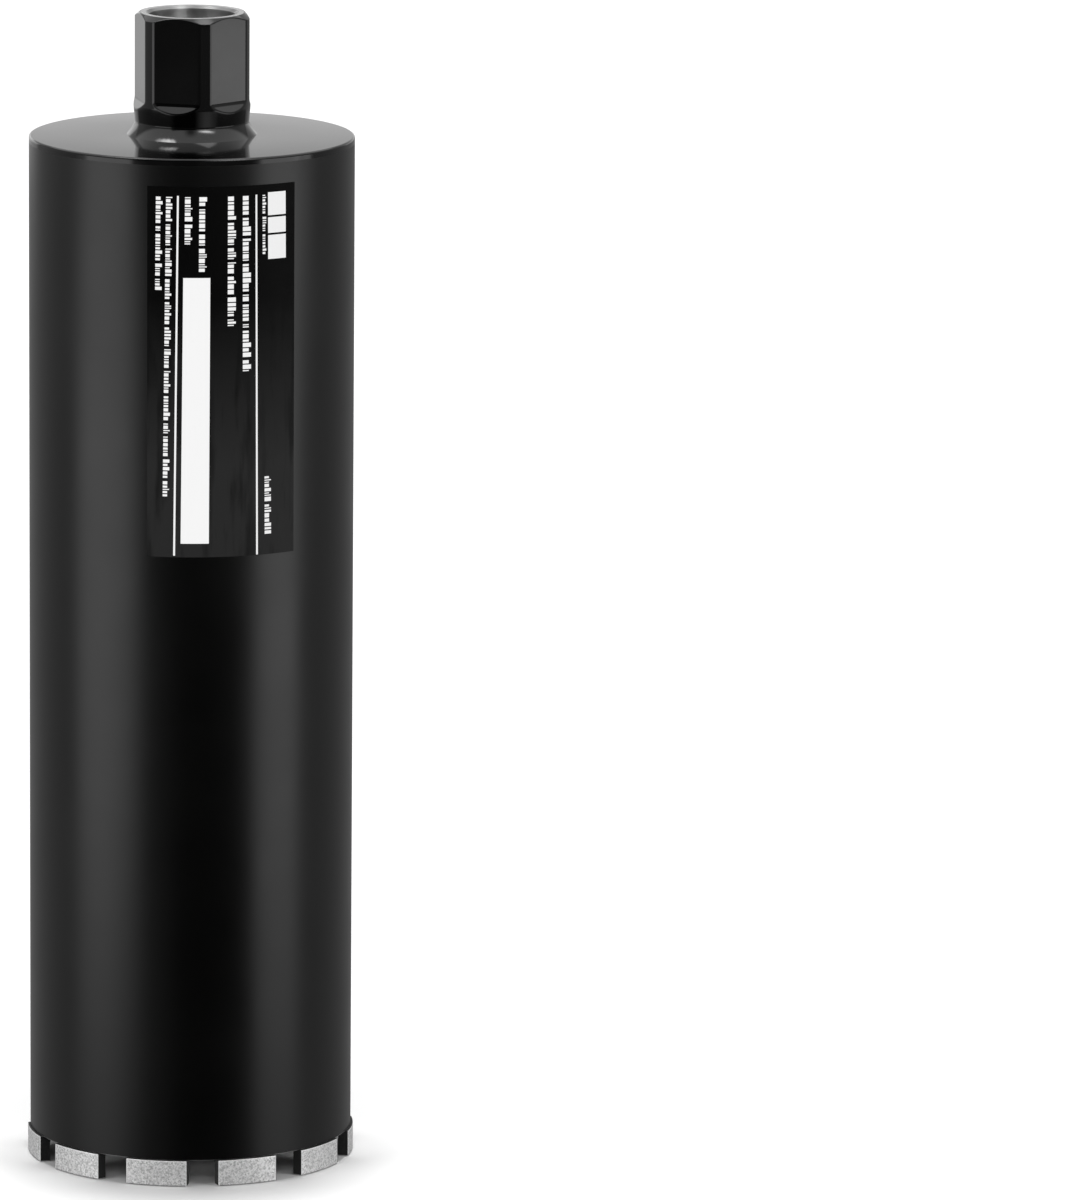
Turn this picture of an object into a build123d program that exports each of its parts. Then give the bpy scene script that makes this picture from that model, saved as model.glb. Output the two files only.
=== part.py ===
from build123d import *
import math
import os

# Diamond core bit, standing on its segments. Sizes are in millimetres and angles in degrees.
# The cutting plane is z = 0, the bit's axis is Z, and the hub is at the top.
# Angles about the axis count from the front, which faces -Y, towards +X.

# Cutting ring
segment_count = 11
cutting_diameter = 127.0  # over the outside of the segments
side_clearance = 1.0  # how far a segment stands proud of the tube's wall, inside and outside
segment_length = 24.0  # between a segment's two parallel ends
segment_height = 10.0
segment_edge_radius = 0.4  # on the four upright edges
first_segment_angle = -12.4

# Tube
body_length = 400.0  # cutting plane to the cap's top
tube_wall = 2.0

# End cap
cap_flange = 3.0  # thickness of the disc that lies on the tube's end
cap_register = 3.0  # depth of the step that enters the tube
cap_edge_chamfer = 0.8
fit_clearance = 0.05  # all round, for the cap in the tube and the hub in the cap

# Hub, with a 1 1/4 inch thread of 7 turns to the inch
inch = 25.4
thread_diameter = 1.25 * inch
thread_pitch = inch / 7
thread_depth = 0.5413 * thread_pitch  # from root to crest, for a 60 degree thread
thread_relief = 0.625  # how far the smooth counterbore lies outside the thread's roots
counterbore_depth = 6.0
mouth_chamfer = 1.0
hub_wall = 6.0  # round the counterbore
hub_height = 47.0  # above the cap
top_chamfer_width = 2.3
top_chamfer_height = 1.9
spigot_wall = 4.0  # round the thread, where the hub passes through the cap
flare_width = 2.5  # the concave foot of the hub, where it meets the cap
flare_height = 4.0

# Wrench flats
flat_count = 6
flat_depth = 2.0  # milled into the round hub, which gives 41 mm across flats
collar_height = 10.2  # the round collar left under the flats
runout_height = 3.3  # the slope in which a flat runs out
first_flat_angle = -17.2

# Label
label_thickness = 0.15
label_glue = 0.1  # the adhesive between the tube and the film
label_width = 59.0  # round the tube
label_height = 142.4
label_drop = 11.0  # from the cap's top to the label's upper edge
label_angle = 11.15

# Worked out from the sizes above
cutting_radius = cutting_diameter / 2
tube_radius = cutting_radius - side_clearance
tube_bore_radius = tube_radius - tube_wall
segment_inner_radius = tube_bore_radius - side_clearance
tube_top = body_length - cap_flange
cap_underside = tube_top - cap_register
counterbore_radius = thread_diameter / 2 + thread_relief
thread_bore_radius = thread_diameter / 2 - thread_depth  # a plain bore level with the thread's crests
spigot_radius = thread_bore_radius + spigot_wall
hub_radius = counterbore_radius + hub_wall
hub_top = body_length + hub_height


def turned(angle):
    """The rotation that takes the +X direction to an angle counted from the front."""
    return Rot(0, 0, angle - 90)


def tube():
    """The barrel: a plain tube from the segments to the cap's flange."""
    with BuildPart() as barrel:
        with BuildSketch(Plane.XY.offset(segment_height)):
            Circle(tube_radius)
            Circle(tube_bore_radius, mode=Mode.SUBTRACT)
        extrude(amount=tube_top - segment_height)
    return barrel.part


def end_cap():
    """The disc that closes the tube: a flange on its end, a register in it and a hole for the hub."""
    with BuildPart() as cap:
        with BuildSketch(Plane.XY.offset(cap_underside)):
            Circle(tube_bore_radius - fit_clearance)
        extrude(amount=cap_register)
        with BuildSketch(Plane.XY.offset(tube_top)):
            Circle(tube_radius)
        extrude(amount=cap_flange)
        chamfer(cap.edges().group_by(Axis.Z)[-1], length=cap_edge_chamfer)
        with BuildSketch(Plane.XY.offset(cap_underside)):
            Circle(spigot_radius + fit_clearance)
        extrude(amount=cap_flange + cap_register, mode=Mode.SUBTRACT)
    return cap.part


def hub_blank():
    """The hub as it leaves the lathe: spigot, flared foot, round body, chamfered top and stepped bore."""
    foot = (hub_radius + flare_width, body_length)
    flare_top = (hub_radius, body_length + flare_height)
    counterbore_floor = hub_top - counterbore_depth
    cone_height = counterbore_radius - thread_bore_radius
    with BuildPart() as blank:
        with BuildSketch(Plane.XZ):
            with BuildLine():
                Polyline(
                    flare_top,
                    (hub_radius, hub_top - top_chamfer_height),
                    (hub_radius - top_chamfer_width, hub_top),
                    (counterbore_radius + mouth_chamfer, hub_top),
                    (counterbore_radius, hub_top - mouth_chamfer),
                    (counterbore_radius, counterbore_floor),
                    (thread_bore_radius, counterbore_floor - cone_height),
                    (thread_bore_radius, cap_underside),
                    (spigot_radius, cap_underside),
                    (spigot_radius, body_length),
                    foot,
                )
                TangentArc(flare_top, foot, tangent=(0, -1))
            make_face()
        revolve(axis=Axis.Z)
    return blank.part


def flat_cutter():
    """What the mill takes off for the flat on the +X side, with the slope in which it runs out."""
    reach = 2 * flat_depth
    flat_bottom = body_length + collar_height + runout_height
    with BuildPart() as cutter:
        with BuildSketch(Plane.XZ):
            with BuildLine():
                Polyline(
                    (hub_radius - flat_depth, hub_top + reach),
                    (hub_radius - flat_depth, flat_bottom),
                    (hub_radius, flat_bottom - runout_height),
                    (hub_radius + reach, flat_bottom - runout_height),
                    (hub_radius + reach, hub_top + reach),
                    close=True,
                )
            make_face()
        extrude(amount=hub_radius, both=True)
    return cutter.part


def hub():
    """The hub: the turned blank with its six wrench flats."""
    part = hub_blank()
    for step in range(flat_count):
        part -= turned(first_flat_angle + step * 360 / flat_count) * flat_cutter()
    return part


def ring_slice(inner_radius, outer_radius, inner_half, outer_half):
    """Outline on the +X side between two radii, whose ends lie at the given distances from the X axis."""
    inner_x = math.sqrt(inner_radius**2 - inner_half**2)
    outer_x = math.sqrt(outer_radius**2 - outer_half**2)
    with BuildSketch() as outline:
        with BuildLine():
            inner = ThreePointArc((inner_x, -inner_half), (inner_radius, 0), (inner_x, inner_half))
            outer = ThreePointArc((outer_x, -outer_half), (outer_radius, 0), (outer_x, outer_half))
            Line(inner @ 0, outer @ 0)
            Line(inner @ 1, outer @ 1)
        make_face()
    return outline.sketch


def segment(angle):
    """A cutting segment: a slice of the cutting ring with parallel ends, brazed under the tube's rim."""
    half = segment_length / 2
    with BuildPart() as block:
        with BuildSketch() as plan:
            add(ring_slice(segment_inner_radius, cutting_radius, half, half))
            fillet(plan.vertices(), radius=segment_edge_radius)
        extrude(amount=segment_height)
    return turned(angle) * block.part


def label():
    """The printed film on the front of the tube."""
    inner_radius = tube_radius + label_glue
    outer_radius = inner_radius + label_thickness
    half_angle = label_width / inner_radius / 2
    outline = ring_slice(
        inner_radius,
        outer_radius,
        inner_radius * math.sin(half_angle),
        outer_radius * math.sin(half_angle),
    )
    film = extrude(outline, amount=label_height)
    return turned(label_angle) * Pos(0, 0, body_length - label_drop - label_height) * film


def write(name, part):
    """Write one piece to its own file."""
    part.label = name
    export_step(part, f"parts/{name}.step")


def main():
    os.makedirs("parts", exist_ok=True)
    write("tube", tube())
    write("end_cap", end_cap())
    write("hub", hub())
    write("label", label())
    for step in range(segment_count):
        write(f"segment_{step + 1:02d}", segment(first_segment_angle + step * 360 / segment_count))


main()
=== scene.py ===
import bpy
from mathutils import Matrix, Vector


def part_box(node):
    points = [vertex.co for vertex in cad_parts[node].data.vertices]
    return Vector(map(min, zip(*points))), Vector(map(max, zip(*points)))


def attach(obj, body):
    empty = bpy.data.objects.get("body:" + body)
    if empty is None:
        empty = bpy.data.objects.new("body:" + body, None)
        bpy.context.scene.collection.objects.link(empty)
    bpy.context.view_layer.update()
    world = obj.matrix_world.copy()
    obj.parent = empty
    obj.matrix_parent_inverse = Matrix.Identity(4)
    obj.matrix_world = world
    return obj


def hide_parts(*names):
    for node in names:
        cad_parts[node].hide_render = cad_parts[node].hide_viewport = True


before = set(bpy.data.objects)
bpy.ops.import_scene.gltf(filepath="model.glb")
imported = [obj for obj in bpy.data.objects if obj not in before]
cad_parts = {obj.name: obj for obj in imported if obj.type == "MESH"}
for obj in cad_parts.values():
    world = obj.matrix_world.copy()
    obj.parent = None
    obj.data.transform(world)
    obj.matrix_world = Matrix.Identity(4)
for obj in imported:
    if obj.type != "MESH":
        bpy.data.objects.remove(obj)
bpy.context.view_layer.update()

import math

import bpy
import numpy as np
from bpy.props import FloatProperty, FloatVectorProperty, IntProperty, PointerProperty
from mathutils import Matrix

bl_info = {
    "name": "Diamond core bit",
    "version": (1, 0, 0),
    "blender": (4, 5, 0),
    "location": "View3D > Sidebar > Core bit",
    "description": "Builds a painted core bit with a threaded hub, sintered segments and a printed label",
    "category": "Add Mesh",
}

# Lengths are in metres. Angles about the bit's axis count from the front, which faces -Y, towards +X.
MM = 0.001
DEGREE = math.pi / 180

CAP_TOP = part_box("end_cap")[1].z
CAP_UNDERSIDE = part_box("end_cap")[0].z
TUBE_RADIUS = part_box("tube")[1].x
TUBE_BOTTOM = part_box("tube")[0].z
TUBE_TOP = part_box("tube")[1].z
HUB_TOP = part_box("hub")[1].z
FOOT_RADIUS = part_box("hub")[1].x
LABEL_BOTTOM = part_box("label")[0].z
LABEL_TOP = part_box("label")[1].z
SEGMENT_NODES = sorted(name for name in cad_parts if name.startswith("segment_"))
SEGMENT_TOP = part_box(SEGMENT_NODES[0])[1].z
CUTTING_RADIUS = TUBE_RADIUS + 1.0 * MM  # the segments stand that far proud of the tube

THREAD_DEPTH = 0.5413  # from root to crest, for a 60 degree thread, as a share of its pitch
SHARP_TURN = 40.0 * DEGREE  # an edge over which faces turn by more is shaded sharp


def srgb(code):
    """The linear colour of an sRGB hex code such as #c0c0c0."""
    parts = [int(code[i : i + 2], 16) / 255 for i in (1, 3, 5)]
    return tuple(c / 12.92 if c <= 0.04045 else ((c + 0.055) / 1.055) ** 2.4 for c in parts)


def length(name, description, millimetres):
    """A property that holds a length."""
    return FloatProperty(
        name=name,
        description=description,
        default=millimetres * MM,
        min=0.0,
        precision=5,
        subtype="DISTANCE",
        unit="LENGTH",
    )


def angle(name, description, degrees):
    """A property that holds an angle."""
    return FloatProperty(
        name=name, description=description, default=degrees * DEGREE, subtype="ANGLE", unit="ROTATION"
    )


def colour(name, description, code):
    """A property that holds a colour."""
    return FloatVectorProperty(
        name=name, description=description, default=srgb(code), size=3, min=0.0, max=1.0, subtype="COLOR"
    )


def share(name, description, value, high=1.0):
    """A property that holds a plain number, such as a roughness or a strength."""
    return FloatProperty(name=name, description=description, default=value, min=0.0, max=high)


class BarrelSettings(bpy.types.PropertyGroup):
    wall: length("Wall", "Thickness of the tube's wall", 2.0)
    rim_edge: length("Rim edge", "Rounding of the two edges of the tube's lower rim", 0.25)


class CapSettings(bpy.types.PropertyGroup):
    edge: length("Edge", "Rounding of the cap's upper edge", 0.9)
    hole: length("Hole", "Radius of the hole that the hub's spigot passes through", 17.961)
    register_clearance: length("Register clearance", "Gap between the cap's register and the tube", 0.05)
    crown: length("Crown", "How much lower the cap's top lies at its edge than at the hub", 0.5)


class HubSettings(bpy.types.PropertyGroup):
    radius: length("Radius", "Radius of the hub's round body", 22.5)
    flare_height: length("Flare height", "Height of the flared foot on the cap", 4.8)
    spigot_radius: length("Spigot radius", "Radius of the part that passes through the cap", 17.911)
    flat_depth: length("Flat depth", "How deep the wrench flats are milled into the round body", 2.0)
    flat_count: IntProperty(name="Flats", description="Number of wrench flats", default=6, min=3)
    first_flat: angle("First flat", "Direction of the first wrench flat", -17.2)
    collar_height: length("Collar height", "Height of the round collar under the flats", 10.2)
    runout_height: length("Run-out height", "Height of the slope in which a flat runs out", 3.3)
    chamfer_width: length("Chamfer width", "Width of the chamfer round the top", 2.3)
    chamfer_height: length("Chamfer height", "Height of the chamfer round the top", 1.9)
    edge: length("Edge", "Width over which the milled edges are rounded", 0.3)
    undercut: length("Undercut", "How much narrower the collar is at its foot than at its top", 0.6)
    flare_sag: length("Flare sag", "How far the foot's flare lies inside a straight cone", 0.27)
    cutter_edge: length("Cutter edge", "Width over which a flat runs into its slope", 0.5)
    counterbore_radius: length("Counterbore radius", "Radius of the smooth bore above the thread", 16.5)
    counterbore_depth: length("Counterbore depth", "Depth of the smooth bore above the thread", 6.0)
    mouth_chamfer: length("Mouth chamfer", "Chamfer at the mouth of the bore", 1.0)
    thread_radius: length("Thread radius", "Radius at the roots of the thread", 15.875)
    thread_pitch: length("Thread pitch", "Rise of the thread in one turn, for 7 turns to the inch", 25.4 / 7)


class SegmentSettings(bpy.types.PropertyGroup):
    span: length("Length", "Distance between a segment's two parallel ends", 24.0)
    thickness: length("Thickness", "Radial thickness of a segment", 4.0)
    edge: length("Edge", "Rounding of a segment's edges", 0.4)
    first: angle("First segment", "Direction of the first segment", -12.4)
    waviness: length("Waviness", "Depth of the slow unevenness of the pressed faces", 0.06)
    grit: length("Grit", "Depth of the pits and grains that grinding leaves", 0.035)


class LabelSettings(bpy.types.PropertyGroup):
    direction: angle("Direction", "Direction of the label's upright centre line", 11.15)
    width: length("Width", "Width round the tube", 59.0)
    outer_radius: length("Outer radius", "Radius of the film's face", 62.75)
    film: length("Film", "Thickness of the film", 0.15)


class FinishSettings(bpy.types.PropertyGroup):
    enamel: colour("Enamel", "Colour of the black enamel", "#020202")
    satin: share("Barrel roughness", "Roughness of the enamel on the barrel", 0.3)
    gloss: share("Hub roughness", "Roughness of the enamel on the hub and the cap", 0.1)
    steel: colour("Steel", "Colour of the bare steel", "#cccccc")
    bore_steel: colour("Bore steel", "Colour of the oiled steel in the bore", "#9a9a9a")
    sinter: colour("Sintered metal", "Colour of the ground sintered metal", "#fafafa")
    grit: colour("Grit", "Colour of the grit and the pores in the sintered metal", "#848484")
    oxide: colour("Oxide", "Colour of the segments' dark faces", "#101010")
    film: colour("Film", "Colour of the label's film at its upper edge", "#060606")
    lower_film: colour("Lower film", "Colour of the label's film in its lower half", "#2a2a2a")
    ink: colour("Ink", "Colour of the label's white print", "#ffffff")


class StageSettings(bpy.types.PropertyGroup):
    floor_width: length("Floor width", "Width of the floor", 24000.0)
    floor_drop: length("Floor drop", "How far the floor lies under the segments' tips", 0.3)
    floor: colour("Floor", "Colour of the floor", "#e0e0e0")
    sky: share("Sky", "Strength of the even light from all round", 0.28, 4.0)
    top_lamp: share("Top lamp", "Strength of the lamp above and a little behind the bit", 2.85, 10.0)
    side_lamp: share("Side lamps", "Strength of each of the two lamps at the sides", 1.5, 10.0)
    front_lamp: share("Front lamp", "Strength of the lamp in front", 0.65, 10.0)
    tent_radius: length("Tent radius", "Radius of the tent that the enamel mirrors", 1000.0)
    tent_height: length("Tent height", "Height of the tent's centre", 420.0)
    flag_radius: length("Flag radius", "Radius of the round flag over the hub's mouth", 17.0)
    flag_height: length("Flag height", "Height of the flag above the hub", 6.0)


def add(tree, kind, settings=None):
    """Adds a node. A setting is a property of the node itself or, by name or number, one of its sockets. The
    socket is linked where the setting is a node, by its first output, or an output, and else takes it as
    its value."""
    node = tree.nodes.new(kind)
    for key, value in (settings or {}).items():
        if isinstance(value, bpy.types.Node):
            value = value.outputs[0]
        if isinstance(key, str) and hasattr(node, key):
            setattr(node, key, value)
        elif isinstance(value, bpy.types.NodeSocket):
            tree.links.new(value, node.inputs[key])
        else:
            socket = node.inputs[key]
            socket.default_value = (*value, 1.0) if socket.type == "RGBA" else value
    return node


def new_material(name):
    """An empty node material, as the material and its tree."""
    material = bpy.data.materials.new(name)
    material.use_nodes = True
    material.node_tree.nodes.clear()
    return material, material.node_tree


# The sockets of a Mix node that hold its first, second and resulting colour
FIRST, SECOND, MIXED = 6, 7, 2
# The range in which most of a noise texture's values lie
NOISE_RANGE = {"From Min": 0.3, "From Max": 0.7}
# The spacing of a wave texture's bands at a scale of 1
WAVE_SPACING = 0.314

DULL_STEEL = srgb("#9a9a9a")
DULL_BORE_STEEL = srgb("#8a8a8a")
# The white of the bright grains, which also paints a highlight along the segments' ends and top edge
GRAIN_AND_EDGE_HIGHLIGHT_WHITE = srgb("#fcfcfc")
# Grit colour of the segments' tips, which are drawn a darker grey than their outsides
DARKER_TIP_GRIT = srgb("#3a3a3a")
OXIDE_GRAIN = srgb("#232323")


def black_enamel(name, base, roughness):
    """Black stoving enamel sprayed on steel. A faint orange peel, 2.5 mm wide, softens what it mirrors, and
    its gloss changes a little over patches 35 mm wide."""
    material, tree = new_material(name)
    place = add(tree, "ShaderNodeTexCoord").outputs["Object"]
    patches = add(
        tree, "ShaderNodeTexNoise", {"Scale": 1.0 / (35.0 * MM), "Detail": 3.0, "Vector": place}
    )
    sheen = add(
        tree,
        "ShaderNodeMapRange",
        {**NOISE_RANGE, "To Min": roughness - 0.02, "To Max": roughness + 0.03, "Value": patches},
    )
    dimples = add(tree, "ShaderNodeTexNoise", {"Scale": 1.0 / (2.5 * MM), "Detail": 1.0, "Vector": place})
    peel = add(tree, "ShaderNodeBump", {"Distance": 0.004 * MM, "Height": dimples})
    shader = add(
        tree,
        "ShaderNodeBsdfPrincipled",
        {"Base Color": base, "IOR": 1.5, "Roughness": sheen, "Normal": peel},
    )
    add(tree, "ShaderNodeOutputMaterial", {"Surface": shader})
    return material


def faced_steel(name, base, roughness):
    """Bare steel faced smooth, which mirrors the light in a soft even sheen. Its tone is a little uneven, in
    patches 2 mm wide."""
    material, tree = new_material(name)
    place = add(tree, "ShaderNodeTexCoord").outputs["Object"]
    patches = add(tree, "ShaderNodeTexNoise", {"Scale": 1.0 / (2.0 * MM), "Detail": 3.0, "Vector": place})
    dulled = add(
        tree, "ShaderNodeMapRange", {**NOISE_RANGE, "To Min": 0.0, "To Max": 0.4, "Value": patches}
    )
    tint = add(
        tree, "ShaderNodeMix", {"data_type": "RGBA", "Factor": dulled, FIRST: base, SECOND: DULL_STEEL}
    )
    shader = add(
        tree,
        "ShaderNodeBsdfPrincipled",
        {"Metallic": 1.0, "Roughness": roughness, "Base Color": tint.outputs[MIXED]},
    )
    add(tree, "ShaderNodeOutputMaterial", {"Surface": shader})
    return material


def turned_steel(name, base):
    """Bare steel as the lathe leaves it, which draws each highlight out into a streak. The marks of the tool
    are drawn as rings 3.5 mm apart, far coarser than the real ones, which are too fine to show, and the tone
    is uneven in patches 3 mm wide."""
    material, tree = new_material(name)
    place = add(tree, "ShaderNodeTexCoord").outputs["Object"]
    rings = add(
        tree,
        "ShaderNodeTexWave",
        {
            "bands_direction": "Z",
            "Scale": WAVE_SPACING / (3.5 * MM),
            "Distortion": 0.6,
            "Detail": 2.0,
            "Vector": place,
        },
    ).outputs["Fac"]
    patches = add(tree, "ShaderNodeTexNoise", {"Scale": 1.0 / (3.0 * MM), "Detail": 3.0, "Vector": place})
    dulled = add(
        tree, "ShaderNodeMapRange", {**NOISE_RANGE, "To Min": 0.0, "To Max": 0.35, "Value": patches}
    )
    tint = add(
        tree, "ShaderNodeMix", {"data_type": "RGBA", "Factor": dulled, FIRST: base, SECOND: DULL_BORE_STEEL}
    )
    shader = add(
        tree,
        "ShaderNodeBsdfPrincipled",
        {
            "Metallic": 1.0,
            "Anisotropic": 0.85,
            "Anisotropic Rotation": 0.25,
            "Base Color": tint.outputs[MIXED],
            "Roughness": add(tree, "ShaderNodeMapRange", {"To Min": 0.3, "To Max": 0.4, "Value": rings}),
            "Normal": add(tree, "ShaderNodeBump", {"Distance": 0.01 * MM, "Height": rings}),
        },
    )
    add(tree, "ShaderNodeOutputMaterial", {"Surface": shader})
    return material


def sintered_metal(name, base, grit, roughness):
    """Metal powder sintered with diamond grit. Grains 0.5 mm wide and pores 0.9 mm wide, coarser than the
    real ones so that they show, break the grey into a bright speckle. Each grain has its own tone and gloss,
    and a painted highlight lightens the edges."""
    material, tree = new_material(name)
    place = add(tree, "ShaderNodeTexCoord").outputs["Object"]
    grains = add(tree, "ShaderNodeTexVoronoi", {"Scale": 1.0 / (0.5 * MM), "Vector": place})
    grain = add(tree, "ShaderNodeSeparateColor", {0: grains.outputs["Color"]}).outputs[0]
    dark = add(tree, "ShaderNodeMapRange", {"From Min": 0.5, "To Max": 0.55, "Value": grain})
    bright = add(
        tree, "ShaderNodeMapRange", {"From Max": 0.35, "To Min": 1.0, "To Max": 0.0, "Value": grain}
    )
    holes = add(tree, "ShaderNodeTexNoise", {"Scale": 1.0 / (0.9 * MM), "Detail": 3.0, "Vector": place})
    pores = add(
        tree, "ShaderNodeMapRange", {"From Min": 0.42, "From Max": 0.7, "To Max": 0.55, "Value": holes}
    )
    # A painted highlight lightens the segment's ends and top edge, as strongly as this attribute says
    painted_edge_highlight = add(tree, "ShaderNodeAttribute", {"attribute_name": "painted_edge_highlight"}).outputs["Fac"]
    tone = base
    for amount, other in ((dark, grit), (bright, GRAIN_AND_EDGE_HIGHLIGHT_WHITE), (pores, grit), (painted_edge_highlight, GRAIN_AND_EDGE_HIGHLIGHT_WHITE)):
        tone = add(
            tree, "ShaderNodeMix", {"data_type": "RGBA", "Factor": amount, FIRST: tone, SECOND: other}
        ).outputs[MIXED]
    gloss = add(
        tree,
        "ShaderNodeMapRange",
        {"To Min": roughness - 0.08, "To Max": roughness + 0.1, "Value": grain},
    )
    pits = add(tree, "ShaderNodeTexNoise", {"Scale": 1.0 / (0.35 * MM), "Detail": 3.0, "Vector": place})
    relief = add(tree, "ShaderNodeBump", {"Distance": 0.05 * MM, "Height": pits})
    shader = add(
        tree,
        "ShaderNodeBsdfPrincipled",
        {"Metallic": 0.5, "Base Color": tone, "Roughness": gloss, "Normal": relief},
    )
    add(tree, "ShaderNodeOutputMaterial", {"Surface": shader})
    return material


def oxidised_metal(name, base):
    """The segments' faces that no wheel touched, black from brazing and paint mist. They are matt, with a
    faint grain, 0.6 mm wide, that keeps them from looking like a hole."""
    material, tree = new_material(name)
    place = add(tree, "ShaderNodeTexCoord").outputs["Object"]
    specks = add(tree, "ShaderNodeTexNoise", {"Scale": 1.0 / (0.6 * MM), "Detail": 3.0, "Vector": place})
    paled = add(tree, "ShaderNodeMapRange", {**NOISE_RANGE, "Value": specks})
    tone = add(
        tree, "ShaderNodeMix", {"data_type": "RGBA", "Factor": paled, FIRST: base, SECOND: OXIDE_GRAIN}
    )
    pits = add(tree, "ShaderNodeTexNoise", {"Scale": 1.0 / (0.4 * MM), "Detail": 3.0, "Vector": place})
    relief = add(tree, "ShaderNodeBump", {"Distance": 0.06 * MM, "Height": pits})
    shader = add(
        tree,
        "ShaderNodeBsdfPrincipled",
        {"Metallic": 0.2, "Roughness": 0.6, "Base Color": tone.outputs[MIXED], "Normal": relief},
    )
    add(tree, "ShaderNodeOutputMaterial", {"Surface": shader})
    return material


def printed_film(name, upper, lower, roughness):
    """Printed polyester film, matt beside the enamel round it. Its black pales from its upper third down to
    its lower quarter, which shows as a slow gradient with faint upright streaks in it, 4 mm wide."""
    material, tree = new_material(name)
    place = add(tree, "ShaderNodeTexCoord").outputs["Object"]
    height = add(tree, "ShaderNodeSeparateXYZ", {"Vector": place}).outputs["Z"]
    start = LABEL_TOP - 0.3 * (LABEL_TOP - LABEL_BOTTOM)
    end = LABEL_BOTTOM + 0.25 * (LABEL_TOP - LABEL_BOTTOM)
    descent = add(tree, "ShaderNodeMapRange", {"From Min": start, "From Max": end, "Value": height})
    drawn_out = add(tree, "ShaderNodeMapping", {"Scale": (1.0, 1.0, 0.12), "Vector": place})
    stripes = add(
        tree, "ShaderNodeTexNoise", {"Scale": 1.0 / (4.0 * MM), "Detail": 4.0, "Vector": drawn_out}
    )
    streaks = add(
        tree,
        "ShaderNodeMapRange",
        {"From Min": 0.5, "From Max": 0.68, "To Min": 1.0, "To Max": 0.45, "Value": stripes},
    )
    # The film's black turns lighter towards the bottom of the label
    paling = add(tree, "ShaderNodeMath", {"operation": "MULTIPLY", 0: descent, 1: streaks})
    tone = add(tree, "ShaderNodeMix", {"data_type": "RGBA", "Factor": paling, FIRST: upper, SECOND: lower})
    patches = add(tree, "ShaderNodeTexNoise", {"Scale": 1.0 / (6.0 * MM), "Detail": 3.0, "Vector": place})
    sheen = add(
        tree,
        "ShaderNodeMapRange",
        {**NOISE_RANGE, "To Min": roughness - 0.03, "To Max": roughness + 0.05, "Value": patches},
    )
    ripples = add(tree, "ShaderNodeTexNoise", {"Scale": 1.0 / (8.0 * MM), "Detail": 1.0, "Vector": place})
    relief = add(tree, "ShaderNodeBump", {"Distance": 0.01 * MM, "Height": ripples})
    shader = add(
        tree,
        "ShaderNodeBsdfPrincipled",
        {"IOR": 1.15, "Base Color": tone.outputs[MIXED], "Roughness": sheen, "Normal": relief},
    )
    add(tree, "ShaderNodeOutputMaterial", {"Surface": shader})
    return material


def around(radius, direction, height):
    """Points at a radius, a direction counted from the front and a height. They are an array whose last
    axis is x, y and z: the radius times the direction's sine, less the radius times its cosine, and the
    height."""
    radius, direction, height = np.broadcast_arrays(radius, direction, height)
    return np.stack([radius * np.sin(direction), -radius * np.cos(direction), height], axis=-1)


def ring_quads(rows, columns, closed_rows=False):
    """Quads of a grid whose columns close on themselves: each joins a point to the next one in its row and
    to the two above them. They face outwards where rows run up the outer side."""
    low = np.arange(rows if closed_rows else rows - 1)[:, None]
    left = np.arange(columns)[None, :]
    high, right = (low + 1) % rows, (left + 1) % columns
    corners = np.broadcast_arrays(
        low * columns + left, low * columns + right, high * columns + right, high * columns + left
    )
    return np.stack(corners, axis=-1).reshape(-1, 4)


def sheet_quads(rows, columns, start=0):
    """Quads of an open grid: each joins a point to the next one in its row and to the two above them. They
    face the side from which columns run to the right and rows up."""
    low = np.arange(rows - 1)[:, None]
    left = np.arange(columns - 1)[None, :]
    first = start + low * columns + left
    return np.stack([first, first + 1, first + columns + 1, first + columns], axis=-1).reshape(-1, 4)


def rounded(corners, radii, steps=5):
    """The open outline through the corners. At each corner with a radius, an arc of that radius, tangent to
    both sides, takes the corner's place."""
    corners = np.array(corners, float)
    outline = []
    for number, (corner, radius) in enumerate(zip(corners, radii)):
        if not radius or number in (0, len(corners) - 1):
            outline.append(corner)
            continue
        back, ahead = corners[number - 1] - corner, corners[number + 1] - corner
        back, ahead = back / np.linalg.norm(back), ahead / np.linalg.norm(ahead)
        half = math.acos(float(np.clip(back @ ahead, -1, 1))) / 2
        bisector = (back + ahead) / np.linalg.norm(back + ahead)
        centre = corner + bisector * radius / math.sin(half)
        start = corner + back * radius / math.tan(half) - centre
        end = corner + ahead * radius / math.tan(half) - centre
        sweep = math.pi - 2 * half
        for step in range(steps + 1):
            t = step / steps
            outline.append(
                centre + (start * math.sin((1 - t) * sweep) + end * math.sin(t * sweep)) / math.sin(sweep)
            )
    return np.array(outline)


def refined(outline, longest, guard=0.0):
    """The outline with points added, so that no stretch is longer than the given length. With a guard, a
    stretch also gets a point that close to each of its ends, which keeps the shading of its middle even."""
    points = []
    for a, b in zip(outline[:-1], outline[1:]):
        span = np.linalg.norm(b - a)
        places = np.linspace(0.0, 1.0, max(1, math.ceil(span / longest)) + 1)[:-1]
        if guard and span > 4 * guard:
            places = np.unique(np.concatenate([places, [guard / span, 1 - guard / span]]))
        points.extend(a + (b - a) * places[:, None])
    points.append(outline[-1])
    return np.array(points)


def soft_min(a, b, width):
    """The smaller of two surfaces. Where they differ by less than the given width, it is a straight blend of
    the two less a parabola, which rounds the edge where they cross."""
    blend = np.clip(0.5 + 0.5 * (b - a) / width, 0, 1)
    return b + (a - b) * blend - width * blend * (1 - blend)


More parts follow.
